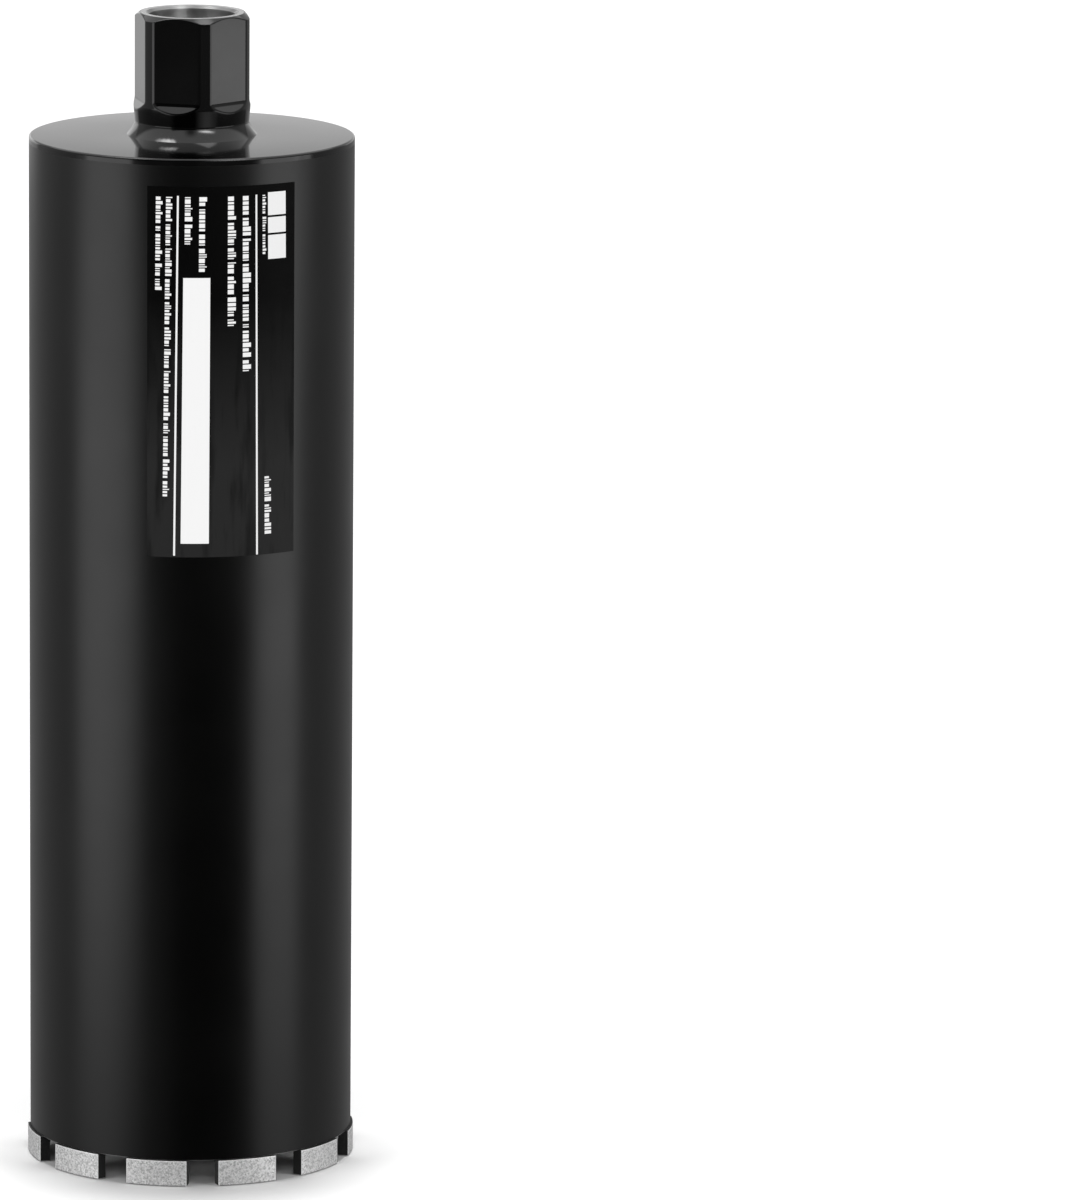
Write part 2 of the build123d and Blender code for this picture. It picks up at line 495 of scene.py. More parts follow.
def smooth_noise(places, wavelength, seed):
    """Slow unevenness from -1 to 1: the mean of eight sine waves of about that length, in seeded
    directions."""
    random = np.random.default_rng(seed)
    waves = random.normal(size=(8, 3))
    waves *= 2 * math.pi / wavelength / np.linalg.norm(waves, axis=1, keepdims=True)
    waves *= random.uniform(0.6, 1.5, (8, 1))
    return np.sin(places @ waves.T + random.uniform(0, 2 * math.pi, 8)).mean(axis=-1)


def new_object(name, points, faces, materials, face_materials=None):
    """A mesh object at the origin, shaded smooth but for its sharp edges."""
    mesh = bpy.data.meshes.new(name)
    mesh.from_pydata(np.asarray(points).reshape(-1, 3).tolist(), [], [list(face) for face in faces])
    for material in materials:
        mesh.materials.append(material)
    if face_materials is not None:
        mesh.polygons.foreach_set("material_index", np.asarray(face_materials, np.int32))
    mesh.polygons.foreach_set("use_smooth", np.ones(len(mesh.polygons), bool))
    mesh.set_sharp_from_angle(angle=SHARP_TURN)
    mesh.update()
    piece = bpy.data.objects.new(name, mesh)
    bpy.context.scene.collection.objects.link(piece)
    return piece


def settle(piece, node):
    """Puts a piece in the place of a CAD node, which it hides, on the one body."""
    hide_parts(node)
    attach(piece, "root")


def lathe(outline, columns):
    """A closed outline of radius and height carried once round the axis: the points and their quads."""
    directions = np.linspace(0.0, 2 * math.pi, columns, endpoint=False)
    points = around(outline[:, 0][:, None], directions[None, :], outline[:, 1][:, None])
    return points, ring_quads(len(outline), columns, closed_rows=True)


def barrel_surface(settings, columns=512):
    """The tube: its wall's section, up the outside, down the inside and out along the lower rim, turned
    round the axis. The quads of the lower rim are marked, because they are bare steel."""
    bore = TUBE_RADIUS - settings.wall
    middle = TUBE_RADIUS - settings.wall / 2
    corners = [
        (middle, TUBE_BOTTOM),
        (TUBE_RADIUS, TUBE_BOTTOM),
        (TUBE_RADIUS, TUBE_TOP),
        (bore, TUBE_TOP),
        (bore, TUBE_BOTTOM),
        (middle, TUBE_BOTTOM),
    ]
    edge = settings.rim_edge
    outline = rounded(corners, (0, edge, 0, 0, edge, 0))
    outline = refined(outline, longest=20 * MM, guard=0.2 * MM)[:-1]
    points, quads = lathe(outline, columns)
    heights = (outline[:, 1] + np.roll(outline[:, 1], -1)) / 2
    bare = np.repeat(heights < TUBE_BOTTOM + 0.9 * edge, columns)
    return points, quads, bare


def cap_surface(settings, tube_wall, columns=512):
    """The end cap: register, flange, rounded upper edge, a top that falls from the hub to the edge as the
    square of the distance, and the hole for the hub, turned round the axis."""
    register = TUBE_RADIUS - tube_wall - settings.register_clearance
    corners = [
        (settings.hole, CAP_UNDERSIDE),
        (register, CAP_UNDERSIDE),
        (register, TUBE_TOP),
        (TUBE_RADIUS, TUBE_TOP),
        (TUBE_RADIUS, CAP_TOP),
        (FOOT_RADIUS, CAP_TOP),
        (settings.hole, CAP_TOP),
        (settings.hole, CAP_UNDERSIDE),
    ]
    outline = rounded(corners, (0, 0, 0, 0, settings.edge, 0, 0, 0), steps=8)
    outline = refined(outline, longest=2.5 * MM, guard=0.1 * MM)[:-1]
    reach = np.clip((outline[:, 0] - FOOT_RADIUS) / (TUBE_RADIUS - FOOT_RADIUS), 0, 1)
    upper = outline[:, 1] > TUBE_TOP + 0.5 * (CAP_TOP - TUBE_TOP)
    outline[:, 1] -= np.where(upper, settings.crown * reach**2, 0.0)
    return lathe(outline, columns)


def flat_directions(settings, coarse=1.5, fine=0.22, reach=1.3):
    """The directions of the hub's columns: one every 1.5 degrees, with more of them beside the edges of the
    flats. Their number is even."""
    step = 2 * math.pi / settings.flat_count
    half = math.acos(1 - settings.flat_depth / settings.radius)
    reach, fine, coarse = reach * DEGREE, fine * DEGREE, coarse * DEGREE
    stretches = [
        (-half - reach, -half + reach, fine),
        (-half + reach, half - reach, coarse),
        (half - reach, half + reach, fine),
        (half + reach, step - half - reach, coarse),
    ]
    one_flat = np.concatenate(
        [
            np.linspace(a, b, 2 * math.ceil((b - a) / spacing / 2), endpoint=False)
            for a, b, spacing in stretches
        ]
    )
    turns = np.arange(settings.flat_count) * step
    return settings.first_flat + (turns[:, None] + one_flat[None, :]).ravel()


def hub_outside(settings, directions, lip=0.4 * MM):
    """The hub's outside, from the spigot's lower end to a narrow lip on the flat top. Each row is a circle
    of the turned profile, cut back where a flat's plane, at distance d over the cosine of the angle from
    its normal, lies nearer. The distance d grows down the run-out, so the plane leaves the round body there.
    The flare is a straight cone less a parabola, and the collar widens evenly from it to the flats."""
    flare_top = CAP_TOP + settings.flare_height
    waist = settings.radius - settings.undercut
    rise = np.linspace(0.0, 1.0, 15)
    flare_radius = FOOT_RADIUS + (waist - FOOT_RADIUS) * rise - 4 * settings.flare_sag * rise * (1 - rise)
    flare = np.stack([flare_radius, CAP_TOP + settings.flare_height * rise], axis=-1)
    corners = [
        (settings.radius, flare_top),
        (settings.radius, HUB_TOP - settings.chamfer_height),
        (settings.radius - settings.chamfer_width, HUB_TOP),
        (settings.radius - settings.chamfer_width - lip, HUB_TOP),
    ]
    top = rounded(corners, (0, settings.edge, settings.edge / 2, 0))[1:]
    runout_low = CAP_TOP + settings.collar_height
    runout_high = runout_low + settings.runout_height
    close_low, close_high = runout_low - 0.5 * MM, runout_high + 1.2 * MM  # rows lie close between these
    heights = np.concatenate(
        [
            np.linspace(flare_top, close_low, 6, endpoint=False),
            np.linspace(close_low, close_high, 46, endpoint=False),
            np.linspace(close_high, top[0, 1], 9, endpoint=False),
        ]
    )[1:]
    narrow = settings.spigot_radius
    spigot = refined(np.array([(narrow, CAP_UNDERSIDE), (narrow, CAP_TOP), flare[0]]), longest=3 * MM)
    taper_top = runout_low + 1.5 * MM
    taper = np.clip((taper_top - heights) / (taper_top - flare_top), 0, 1)
    wall = np.stack([settings.radius - settings.undercut * taper, heights], axis=-1)
    profile = np.concatenate([spigot[:-1], flare, wall, refined(top, longest=0.12 * MM)])
    radius, height = profile[:, 0][:, None], profile[:, 1][:, None]
    step = 2 * math.pi / settings.flat_count
    off_normal = (directions - settings.first_flat + step / 2) % step - step / 2
    ramp = settings.flat_depth * (runout_high - height) / settings.runout_height
    plane = settings.radius - settings.flat_depth - soft_min(-ramp, 0.0, settings.cutter_edge)
    plane = np.where(height < flare_top, 1.0, plane)  # a metre away, where it can't cut the flare
    cut = soft_min(radius, plane / np.cos(off_normal)[None, :], settings.edge)
    return around(cut, directions[None, :], height)


def thread_radius(settings, direction, height):
    """Radius of the right-handed 60 degree thread: a trapezoid wave in the height less the rise of the
    helix, with an eighth of the pitch at the roots and a quarter at the crests."""
    depth = THREAD_DEPTH * settings.thread_pitch
    phase = (height / settings.thread_pitch - direction / (2 * math.pi)) % 1.0
    from_root = np.abs(phase - 0.5) * settings.thread_pitch
    flank = np.clip((from_root - settings.thread_pitch / 16) * math.tan(60 * DEGREE), 0, depth)
    return settings.thread_radius - flank


def hub_bore(settings, directions, lip=0.3 * MM, row=0.2 * MM):
    """The hub's bore from the mouth down: a narrow lip on the flat top, chamfer, counterbore, cone, and the
    thread, which the cone and the countersink at the lower end cut off where they are wider. The thread's
    rows lie 0.2 mm apart."""
    seat = HUB_TOP - settings.counterbore_depth
    wide = settings.counterbore_radius
    crest = settings.thread_radius - THREAD_DEPTH * settings.thread_pitch
    corners = [
        (wide + settings.mouth_chamfer + lip, HUB_TOP),
        (wide + settings.mouth_chamfer, HUB_TOP),
        (wide, HUB_TOP - settings.mouth_chamfer),
        (wide, seat + row),
    ]
    mouth = refined(rounded(corners, (0, 0.2 * MM, 0.2 * MM, 0), steps=3), longest=1.2 * MM)
    heights = np.arange(seat, CAP_UNDERSIDE, -row)
    heights[-1] = CAP_UNDERSIDE
    cone = np.clip(wide - (seat - heights), crest, wide)
    countersink = settings.thread_radius + 0.3 * MM - (heights - CAP_UNDERSIDE)
    plain = np.maximum(cone, countersink)[:, None]
    threaded = np.maximum(plain, thread_radius(settings, directions[None, :], heights[:, None]))
    upper = around(mouth[:, 0][:, None], directions[None, :], mouth[:, 1][:, None])
    lower = around(threaded, directions[None, :], heights[:, None])
    return np.concatenate([upper, lower])


def hub_surface(settings):
    """The whole hub: the outside, the bore with half as many columns, and the two flat rings that join
    them, made of five-cornered faces. The faces of the bore are marked 1 and those of the rings 2, because
    they are bare steel."""
    directions = flat_directions(settings)
    outside = hub_outside(settings, directions)
    bore = hub_bore(settings, directions[::2])
    columns, half = len(directions), len(directions) // 2
    shift = outside.shape[0] * columns
    outer_quads = ring_quads(outside.shape[0], columns)
    bore_quads = ring_quads(bore.shape[0], half) + shift
    number = np.arange(half)
    after = (number + 1) % half

    def ring(outer_row, bore_row, upwards):
        outer, inner = outer_row * columns, shift + bore_row * half
        corners = [
            outer + 2 * number,
            outer + 2 * number + 1,
            outer + (2 * number + 2) % columns,
            inner + after,
            inner + number,
        ]
        return np.stack(corners if upwards else corners[::-1], axis=-1)

    rings = np.concatenate([ring(outside.shape[0] - 1, 0, True), ring(0, bore.shape[0] - 1, False)])
    faces = outer_quads.tolist() + bore_quads.tolist() + rings.tolist()
    bare = np.zeros(len(faces), np.int32)
    bare[len(outer_quads) :] = 1
    bare[-len(rings) :] = 2
    return np.concatenate([outside.reshape(-1, 3), bore.reshape(-1, 3)]), faces, bare


def spaced(half, edge, spacing):
    """Places from -half to half, close together within the edge's rounding and evenly spaced between."""
    rim = half - edge * np.array([0.0, 0.25, 0.55, 1.0, 1.3])
    inner = np.linspace(-rim[-1], rim[-1], max(3, round(2 * rim[-1] / spacing)))
    return np.concatenate([-rim[:-1], inner, rim[:-1][::-1]])


def block_surface(half_sizes, edge, spacing):
    """The surface of a block with rounded edges: the nodes of a lattice on the block's six sides, each
    pulled onto the sphere of the edge's radius round the nearest point of the smaller block inside. Gives
    points, their normals, quads, and each quad's side, from 0 to 5 for -x, +x, -y, +y, -z and +z."""
    lines = [spaced(half, edge, spacing) for half in half_sizes]
    counts = [len(line) for line in lines]
    strides = (counts[1] * counts[2], counts[2], 1)
    quads, sides = [], []
    for axis in range(3):
        right, up = (axis + 1) % 3, (axis + 2) % 3
        i = np.arange(counts[right] - 1)[:, None]
        j = np.arange(counts[up] - 1)[None, :]
        first = i * strides[right] + j * strides[up]
        for end, high in enumerate((0, counts[axis] - 1)):
            a, b, c, d = (
                high * strides[axis] + first + step
                for step in (0, strides[right], strides[right] + strides[up], strides[up])
            )
            corners = (a, b, c, d) if end else (a, d, c, b)
            quads.append(np.stack(corners, axis=-1).reshape(-1, 4))
            sides.append(np.full(len(quads[-1]), 2 * axis + end))
    used, numbers = np.unique(np.concatenate(quads), return_inverse=True)
    places = np.stack(
        [
            lines[0][used // strides[0]],
            lines[1][used // strides[1] % counts[1]],
            lines[2][used % counts[2]],
        ],
        axis=-1,
    )
    inner = np.array(half_sizes) - edge
    nearest = np.clip(places, -inner, inner)
    away = places - nearest
    away /= np.maximum(np.linalg.norm(away, axis=1, keepdims=True), 1e-12)
    return nearest + away * edge, away, numbers.reshape(-1, 4), np.concatenate(sides)


def segment_surface(settings, direction, seed):
    """One segment: a rounded block, made uneven inwards along its normals by waves 7 mm long and fine grit,
    then bent so that x keeps its place across the tangent and y becomes the distance from the axis. Gives
    points, quads, each quad's side and how strongly a painted highlight lightens each point, which falls off
    within 0.7 mm of the ends and the top."""
    half_sizes = (settings.span / 2, settings.thickness / 2, SEGMENT_TOP / 2)
    places, normals, quads, sides = block_surface(half_sizes, settings.edge, spacing=0.28 * MM)
    random = np.random.default_rng(seed)
    slow = (1 + smooth_noise(places, 7 * MM, seed)) / 2
    fine = random.random(len(places)) ** 3
    seated = places[:, 2] > half_sizes[2] - 0.5 * settings.edge
    depth = np.where(seated, 0.0, settings.waviness * slow + settings.grit * fine)
    places = places - normals * depth[:, None]
    to_edge = np.minimum(half_sizes[0] - np.abs(places[:, 0]), half_sizes[2] - places[:, 2])
    # How strongly a painted highlight lightens each point: most at the ends and the top edge
    painted_edge_highlight = 0.8 * np.clip(1 - to_edge / (0.7 * MM), 0, 1) ** 0.5
    radius = CUTTING_RADIUS - settings.thickness / 2 + places[:, 1]
    out = np.sqrt(radius**2 - places[:, 0] ** 2)
    points = np.stack([places[:, 0], -out, places[:, 2] + half_sizes[2]], axis=-1)
    turn = np.array(Matrix.Rotation(direction, 3, "Z"))
    return points @ turn.T, quads, sides, painted_edge_highlight


# The label's print, in millimetres: each field's left and right edge from the label's centre line at the
# label's upper edge, and its upper and lower edge in height. Nothing is spelt out: a line of small print is
# a row of plain bars as wide as letters, whose lengths are whole numbers of print steps.
PRINT_FIELDS = (
    (-18.05, -17.35, 385.6, 247.2),
    (12.2, 12.9, 385.4, 246.8),
    (-15.4, -5.3, 354.2, 251.9),
    (17.4, 25.2, 386.0, 377.2),
    (17.4, 25.2, 376.4, 370.4),
    (17.4, 25.2, 369.6, 360.4),
)
PRINT_LINES = (
    # left, right of low letters, right of tall letters, upper end, lower end, longest letter in print steps
    (-26.1, -24.3, -23.5, 385.0, 349.0, 3),
    (-22.2, -20.5, -19.8, 385.0, 270.0, 3),
    (-15.0, -12.9, -12.2, 385.0, 366.8, 4),
    (-9.6, -7.4, -6.7, 385.0, 356.1, 4),
    (1.3, 3.6, 4.4, 385.0, 335.2, 4),
    (7.1, 9.4, 10.3, 385.0, 318.0, 4),
    (15.1, 16.2, 16.6, 385.0, 361.0, 2),
    (15.6, 17.4, 18.2, 276.9, 253.3, 4),
)
PRINT_STEP = 0.42
PRINT_SPREAD = 0.068  # how much wider the print lies at the label's lower edge than at its upper edge
PRINT_LEAN = -0.17 * MM  # how far to the right it lies there


def print_bars(seed=4, tall_share=0.35):
    """The bars of the lines of small print: words of two to nine bars, one print step apart, with three
    steps between words. Now and then a bar is tall."""
    random = np.random.default_rng(seed)
    bars = []
    for left, low_right, tall_right, top, bottom, longest in PRINT_LINES:
        place, end = round(top / PRINT_STEP), round(bottom / PRINT_STEP)
        while place > end:
            for _ in range(random.integers(2, 10)):
                steps = random.integers(1, longest + 1)
                if place - steps < end:
                    break
                right = tall_right if random.random() < tall_share else low_right
                bars.append((left, right, place * PRINT_STEP, (place - steps) * PRINT_STEP))
                place -= steps + 1
            place -= 2
    return bars


def label_surface(settings):
    """The film: a grid of upright and level lines, among them every edge of the print, laid on a cylinder
    outside and, a film's thickness further in, inside, with a strip round the edge. The upright lines spread
    a little downwards, all but the film's own edges. Quads within a field of print are marked."""
    fields = np.array(list(PRINT_FIELDS) + print_bars()) * MM
    half = settings.width / 2

    def lines(edges, low, high, spacing):
        edges = np.unique(np.round(np.concatenate([edges, [low, high]]), 7))
        return refined(edges[:, None], spacing)[:, 0]

    across = lines(fields[:, :2].ravel(), -half, half, spacing=1.0 * MM)
    upright = lines(fields[:, 2:].ravel(), LABEL_BOTTOM, LABEL_TOP, spacing=6.0 * MM)
    fall = (LABEL_TOP - upright[:, None]) / (LABEL_TOP - LABEL_BOTTOM)
    spread = fall * (PRINT_SPREAD * across[None, :] + PRINT_LEAN) * (1 - (across[None, :] / half) ** 8)
    directions = settings.direction + (across[None, :] + spread) / settings.outer_radius
    sheets = [
        around(radius, directions, upright[:, None])
        for radius in (settings.outer_radius, settings.outer_radius - settings.film)
    ]
    rows, columns = len(upright), len(across)
    count = rows * columns
    face = sheet_quads(rows, columns)
    back = sheet_quads(rows, columns, count)[:, ::-1]
    left, right = np.arange(rows) * columns, np.arange(rows) * columns + columns - 1
    bottom, top = np.arange(columns), np.arange(columns) + (rows - 1) * columns
    rim = []
    for edge in (bottom, right, top[::-1], left[::-1]):
        rim.append(np.stack([edge[1:], edge[:-1], edge[:-1] + count, edge[1:] + count], axis=-1))
    middle_x = (across[1:] + across[:-1])[None, :, None] / 2
    middle_z = (upright[1:] + upright[:-1])[:, None, None] / 2
    inside = (middle_x > fields[:, 0]) & (middle_x < fields[:, 1])
    inside = inside & (middle_z < fields[:, 2]) & (middle_z > fields[:, 3])
    printed = inside.any(axis=-1).ravel()
    quads = np.concatenate([face, back, *rim])
    marks = np.zeros(len(quads), bool)
    marks[: len(printed)] = printed
    return np.concatenate([sheet.reshape(-1, 3) for sheet in sheets]), quads, marks


class COREBIT_OT_barrel(bpy.types.Operator):
    """Adds the painted tube with its bare lower rim"""

    bl_idname = "core_bit.barrel"
    bl_label = "Barrel"

    def execute(self, context):
        settings, finish = context.scene.core_bit_barrel, context.scene.core_bit_finish
        enamel = black_enamel("satin_black_enamel", finish.enamel, finish.satin)
        steel = faced_steel("bare_tube_steel", finish.steel, roughness=0.35)
        points, quads, bare = barrel_surface(settings)
        settle(new_object("barrel", points, quads, [enamel, steel], bare), "tube")
        return {"FINISHED"}


class COREBIT_OT_cap(bpy.types.Operator):
    """Adds the painted cap that closes the tube"""

    bl_idname = "core_bit.cap"
    bl_label = "Cap"

    def execute(self, context):
        settings, finish = context.scene.core_bit_cap, context.scene.core_bit_finish
        enamel = black_enamel("gloss_black_enamel", finish.enamel, finish.gloss)
        points, quads = cap_surface(settings, context.scene.core_bit_barrel.wall)
        settle(new_object("cap", points, quads, [enamel]), "end_cap")
        return {"FINISHED"}


class COREBIT_OT_hub(bpy.types.Operator):
    """Adds the hub with its wrench flats and its threaded bore"""

    bl_idname = "core_bit.hub"
    bl_label = "Hub"

    def execute(self, context):
        settings, finish = context.scene.core_bit_hub, context.scene.core_bit_finish
        enamel = black_enamel("hub_black_enamel", finish.enamel, finish.gloss)
        bore = turned_steel("turned_bore_steel", finish.bore_steel)
        ring = faced_steel("faced_ring_steel", finish.steel, roughness=0.25)
        points, faces, bare = hub_surface(settings)
        settle(new_object("threaded_hub", points, faces, [enamel, bore, ring], bare), "hub")
        return {"FINISHED"}


class COREBIT_OT_segments(bpy.types.Operator):
    """Adds the ring of sintered segments"""

    bl_idname = "core_bit.segments"
    bl_label = "Segments"

    def execute(self, context):
        settings, finish = context.scene.core_bit_segments, context.scene.core_bit_finish
        finishes = [
            sintered_metal("ground_sintered_metal", finish.sinter, finish.grit, roughness=0.42),
            sintered_metal("darker_tip_sintered_metal", finish.grit, DARKER_TIP_GRIT, roughness=0.5),
            oxidised_metal("oxidised_sintered_metal", finish.oxide),
        ]
        # Of each side of the block: the outside is ground, the tip is a darker grey, and the rest is
        # oxidised
        finish_of_side = np.array([2, 2, 2, 0, 1, 2])
        for number, node in enumerate(SEGMENT_NODES):
            direction = settings.first + number * 2 * math.pi / len(SEGMENT_NODES)
            points, quads, sides, painted_edge_highlight = segment_surface(settings, direction, seed=20 + number)
            piece = new_object(f"cutting_{node}", points, quads, finishes, finish_of_side[sides])
            piece.data.attributes.new("painted_edge_highlight", "FLOAT", "POINT").data.foreach_set("value", painted_edge_highlight)
            settle(piece, node)
        return {"FINISHED"}


class COREBIT_OT_label(bpy.types.Operator):
    """Adds the printed label"""

    bl_idname = "core_bit.label"
    bl_label = "Label"

    def execute(self, context):
        settings, finish = context.scene.core_bit_label, context.scene.core_bit_finish
        film = printed_film("black_label_film", finish.film, finish.lower_film, roughness=0.5)
        ink = printed_film("white_label_ink", finish.ink, finish.ink, roughness=0.5)
        points, quads, printed = label_surface(settings)
        settle(new_object("printed_label", points, quads, [film, ink], printed), "label")
        return {"FINISHED"}


def floor_material(paper):
    """Seamless pale paper, which the lamps just light up to white where the bit leaves no shadow. From
    behind it can be seen through, so that a view from below shows the bit."""
    material, tree = new_material("seamless_pale_paper")
    front = add(tree, "ShaderNodeBsdfDiffuse", {"Color": paper})
    back = add(tree, "ShaderNodeBsdfTransparent")
    from_behind = add(tree, "ShaderNodeNewGeometry").outputs["Backfacing"]
    shown = add(tree, "ShaderNodeMixShader", {0: from_behind, 1: front, 2: back})
    add(tree, "ShaderNodeOutputMaterial", {"Surface": shown})
    return material


def glow_material(name):
    """Cloth that shines at each point as brightly as the attribute glow says."""
    material, tree = new_material(name)
    level = add(tree, "ShaderNodeAttribute", {"attribute_name": "glow"}).outputs["Fac"]
    glow = add(tree, "ShaderNodeEmission", {"Color": (1.0, 1.0, 1.0), "Strength": level})
    add(tree, "ShaderNodeOutputMaterial", {"Surface": glow})
    material.cycles.emission_sampling = "NONE"
    return material


def show_only(piece, ray):
    """Hides a card of the stage from every kind of ray but one: glossy, which shows it in enamel and metal
    alone, or shadow, which lets it do no more than hold back the lamps."""
    for kind in ("camera", "diffuse", "glossy", "transmission", "volume_scatter", "shadow"):
        setattr(piece, f"visible_{kind}", kind == ray)


# The tent round the bit, as the bit mirrors it: what each stretch spans in direction (left, right) and in
# elevation (low, high), how wide its edges fade (across, below, above), all in degrees as seen from the hub,
# and its brightness. Later ones cover earlier ones.
TENT = (
    (-180, 180, -90, 90, 1, 1, 1, 0.27),  # cloth all round
    (-180, -104, -90, -8, 20, 1, 4, 0.31),
    (-180, 180, 27, 90, 1, 6, 1, 1.3),  # white ceiling
    (135, 225, -2, 30, 4, 2, 1, 1.05),  # white wall behind
    (135, 225, 8, 30, 4, 14, 1, 0.56),
    (-170, -138, -9.6, 3, 4, 1.5, 3, 0.95),
    (-170, -138, 2, 14, 4, 3, 3, 1.45),
    (-46, 46, -90, 38, 3, 1, 2, 0.01),  # dark cloth in front, from which the camera looks
    (-46, -14, -60, -10, 8, 4, 1, 0.1),
    (-46, 4, -10, -2, 4, 1, 2, 0.08),
    (4, 46, -10, -2, 4, 1, 2, 0.14),
    (-14, 8, 30, 54, 14, 1, 14, 0.3),
    (40, 130, 2, 25, 12, 3, 3, 0.4),  # dim cloth at the sides
    (-130, -40, 2, 25, 12, 3, 3, 0.4),
    (-130, -76, -9.5, 1, 2, 1, 2, 0.42),
    (44.5, 78, -32, -10.5, 5, 17, 1, 1.75),  # right soft box
    (48, 79, -11, -2, 3, 1, 2, 1.75),
    (75, 90, -9.8, -5.5, 2, 1, 1, 2.3),
    (-84.5, -55, -29.5, -10.5, 8, 18, 1, 1.7),  # left soft box
    (-75, -38, -29.5, -10.5, 14, 18, 1, 1.7),
    (-78, -42, -11, -2, 3, 1, 2, 1.7),
    (16, 44, 9, 34, 20, 6, 6, 2.6),  # strip in front on the right, with its lamp above it
    (20, 46, 39, 44, 18, 4, 4, 16.0),
    (-96, -82, 50.5, 58, 4, 3, 4, 6.0),  # slanting strip lamp above the left soft box
    (-84, -72, 53.5, 62, 4, 3, 4, 11.0),
    (-74, -62, 56.5, 66, 4, 3, 4, 14.0),
    (-64, -52, 59.5, 68, 4, 3, 4, 11.0),
    (60, 112, 68, 88, 3, 4, 4, 5.0),  # lamp overhead
)


def tent_glow(directions, elevations):
    """Brightness of the tent: each stretch fades in over its edges, over what it covers."""
    glow = np.zeros(np.broadcast(directions, elevations).shape)
    for left, right, low, high, across, below, above, brightness in TENT:
        half = (right - left) / 2
        off = half - np.abs((directions - left - half + 180) % 360 - 180)
        inside = np.clip(off / across + 0.5, 0, 1) if half < 180 else 1.0
        inside = inside * np.clip((elevations - low) / below + 0.5, 0, 1)
        inside = inside * np.clip((high - elevations) / above + 0.5, 0, 1)
        glow = glow + (brightness - glow) * inside
    return glow


def tent(settings):
    """A sphere of cloth round the bit, which only reflections show."""
    directions = np.arange(-180.0, 180.0, 1.0)
    elevations = np.linspace(-89.5, 89.5, 180)
    points = around(
        settings.tent_radius * np.cos(elevations * DEGREE)[:, None],
        directions[None, :] * DEGREE,
        settings.tent_height + settings.tent_radius * np.sin(elevations * DEGREE)[:, None],
    )
    quads = ring_quads(len(elevations), len(directions))
    card = new_object("tent", points, quads, [glow_material("lit_tent_cloth")])
    glow = card.data.attributes.new("glow", "FLOAT", "POINT")
    glow.data.foreach_set("value", tent_glow(directions[None, :], elevations[:, None]).ravel())
    show_only(card, "glossy")


def lamp(name, direction, elevation, strength, spread):
    """A soft distant lamp that shines from a direction and an elevation, and whose rays differ in angle by
    its spread, all in degrees. Reflections don't show it."""
    data = bpy.data.lights.new(name, "SUN")
    data.energy = strength
    data.angle = spread * DEGREE
    piece = bpy.data.objects.new(name, data)
    turn = Matrix.Rotation(direction * DEGREE, 4, "Z")
    piece.matrix_world = turn @ Matrix.Rotation((90 - elevation) * DEGREE, 4, "X")
    piece.visible_glossy = False
    bpy.context.scene.collection.objects.link(piece)


def flag(settings, columns=64):
    """A small round card over the hub's mouth, a circle of points with one face. It keeps the top lamp from
    shining down the bore and onto the floor inside the tube, and faces down, because from behind its paper
    lets the light through."""
    directions = np.linspace(0.0, 2 * math.pi, columns, endpoint=False)
    points = around(settings.flag_radius, directions, HUB_TOP + settings.flag_height)
    card = new_object("flag", points, [range(columns)[::-1]], [floor_material(settings.floor)])
    show_only(card, "shadow")


def light_world(strength):
    """An even sky. The camera, reflections and glass see it white."""
    world = bpy.data.worlds.new("white_studio")
    bpy.context.scene.world = world
    world.use_nodes = True
    tree = world.node_tree
    tree.nodes.clear()
    rays = add(tree, "ShaderNodeLightPath").outputs
    seen = rays["Is Camera Ray"]
    for kind in ("Is Glossy Ray", "Is Transmission Ray"):
        seen = add(tree, "ShaderNodeMath", {"operation": "MAXIMUM", 0: seen, 1: rays[kind]})
    level = add(tree, "ShaderNodeMapRange", {"To Min": strength, "To Max": 1.0, "Value": seen})
    sky = add(tree, "ShaderNodeBackground", {"Color": (1.0, 1.0, 1.0), "Strength": level})
    add(tree, "ShaderNodeOutputWorld", {"Surface": sky})


def place_camera():
    """A long lens in front of the bit, a little above it and to its left. It frames the bit at the left."""
    place = (-14.5 * MM, -3757.8 * MM, 969.2 * MM)
    yaw, down, roll = -2.2491, 11.3013, 0.4795  # degrees
    data = bpy.data.cameras.new("camera")
    data.lens = 296.94
    data.sensor_width = 36.0
    data.clip_end = 60.0
    camera = bpy.data.objects.new("camera", data)
    camera.matrix_world = (
        Matrix.Translation(place)
        @ Matrix.Rotation(yaw * DEGREE, 4, "Z")
        @ Matrix.Rotation((90 - down) * DEGREE, 4, "X")
        @ Matrix.Rotation(roll * DEGREE, 4, "Z")
    )
    bpy.context.scene.collection.objects.link(camera)
    bpy.context.scene.camera = camera


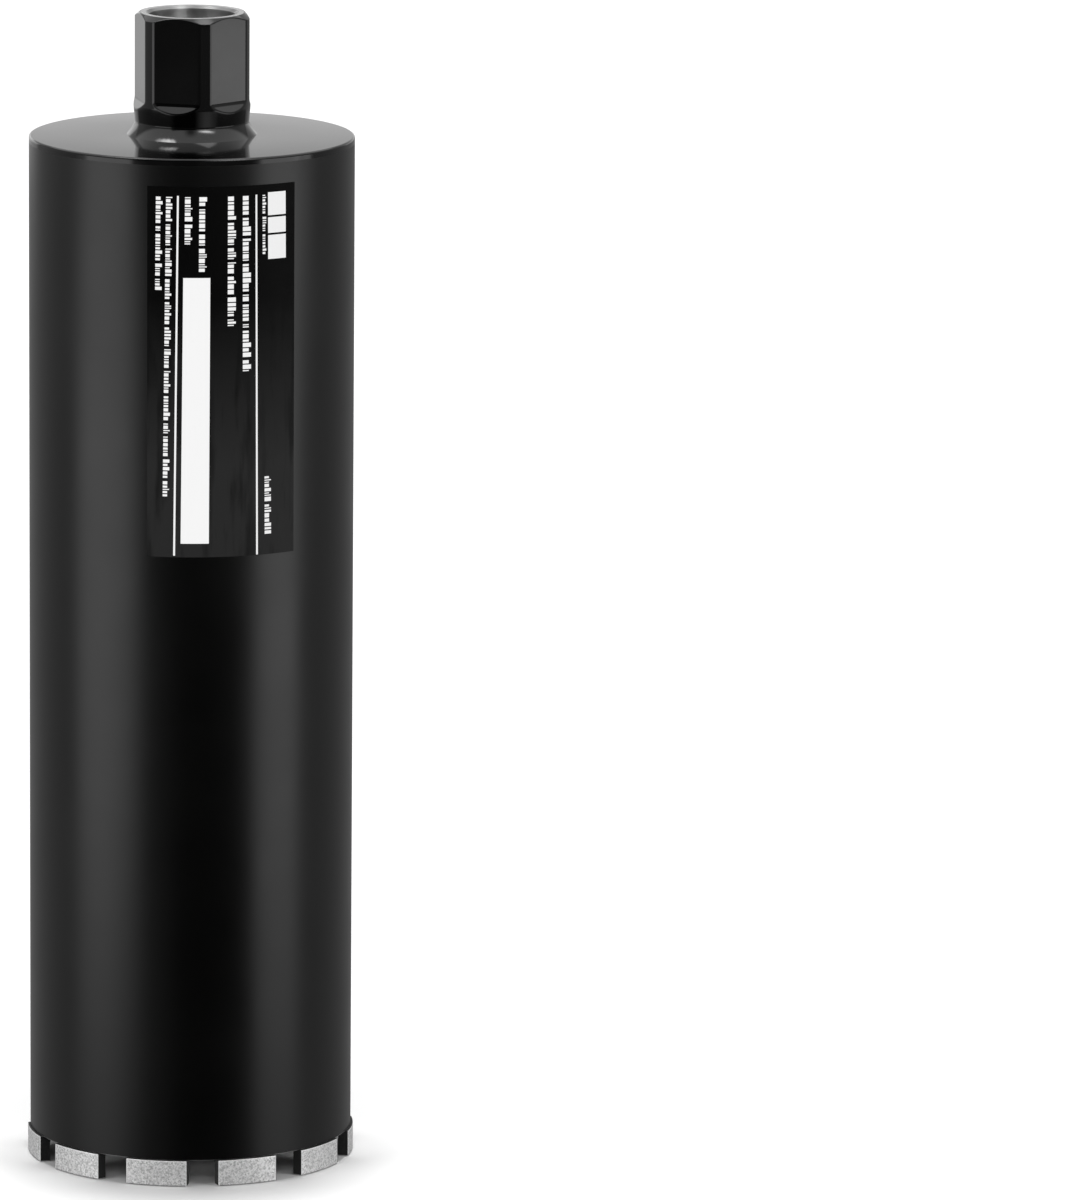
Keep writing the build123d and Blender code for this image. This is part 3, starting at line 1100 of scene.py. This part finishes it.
class COREBIT_OT_stage(bpy.types.Operator):
    """Adds the floor, the light and the camera"""

    bl_idname = "core_bit.stage"
    bl_label = "Stage"

    def execute(self, context):
        settings = context.scene.core_bit_stage
        half = settings.floor_width / 2
        corners = [(-half, -half), (half, -half), (half, half), (-half, half)]
        points = [(x, y, -settings.floor_drop) for x, y in corners]
        floor = new_object("floor", points, [(0, 1, 2, 3)], [floor_material(settings.floor)])
        floor.visible_glossy = False
        floor.visible_diffuse = False
        floor.visible_shadow = False
        light_world(settings.sky)
        lamp("top_lamp", direction=180.0, elevation=86.5, strength=settings.top_lamp, spread=7.0)
        lamp("left_lamp", direction=-60.0, elevation=17.0, strength=settings.side_lamp, spread=26.0)
        lamp("right_lamp", direction=60.0, elevation=17.0, strength=settings.side_lamp, spread=26.0)
        lamp("front_lamp", direction=0.0, elevation=26.0, strength=settings.front_lamp, spread=30.0)
        flag(settings)
        tent(settings)
        place_camera()
        context.scene.view_settings.view_transform = "Standard"
        return {"FINISHED"}


class COREBIT_PT_panel(bpy.types.Panel):
    """Lists the finishes, and the steps that build the bit with their sizes"""

    bl_idname = "COREBIT_PT_panel"
    bl_label = "Core bit"
    bl_space_type = "VIEW_3D"
    bl_region_type = "UI"
    bl_category = "Core bit"

    def draw(self, context):
        for operator, group in ((None, "core_bit_finish"), *STEPS):
            box = self.layout.box()
            if operator:
                box.operator(operator.bl_idname)
            settings = getattr(context.scene, group)
            for name in settings.__annotations__:
                box.prop(settings, name)


GROUPS = {
    "core_bit_barrel": BarrelSettings,
    "core_bit_cap": CapSettings,
    "core_bit_hub": HubSettings,
    "core_bit_segments": SegmentSettings,
    "core_bit_label": LabelSettings,
    "core_bit_finish": FinishSettings,
    "core_bit_stage": StageSettings,
}
STEPS = (
    (COREBIT_OT_barrel, "core_bit_barrel"),
    (COREBIT_OT_cap, "core_bit_cap"),
    (COREBIT_OT_hub, "core_bit_hub"),
    (COREBIT_OT_segments, "core_bit_segments"),
    (COREBIT_OT_label, "core_bit_label"),
    (COREBIT_OT_stage, "core_bit_stage"),
)


def register():
    """Makes the settings, the operators and the panel known to Blender."""
    for name, group in GROUPS.items():
        bpy.utils.register_class(group)
        setattr(bpy.types.Scene, name, PointerProperty(type=group))
    for operator, _ in STEPS:
        bpy.utils.register_class(operator)
    bpy.utils.register_class(COREBIT_PT_panel)


def unregister():
    """Takes back what register did."""
    bpy.utils.unregister_class(COREBIT_PT_panel)
    for operator, _ in reversed(STEPS):
        bpy.utils.unregister_class(operator)
    for name, group in reversed(GROUPS.items()):
        delattr(bpy.types.Scene, name)
        bpy.utils.unregister_class(group)


def main():
    """Builds the bit and its stage."""
    register()
    bpy.ops.core_bit.barrel()
    bpy.ops.core_bit.cap()
    bpy.ops.core_bit.hub()
    bpy.ops.core_bit.segments()
    bpy.ops.core_bit.label()
    bpy.ops.core_bit.stage()


if __name__ == "__main__":
    main()
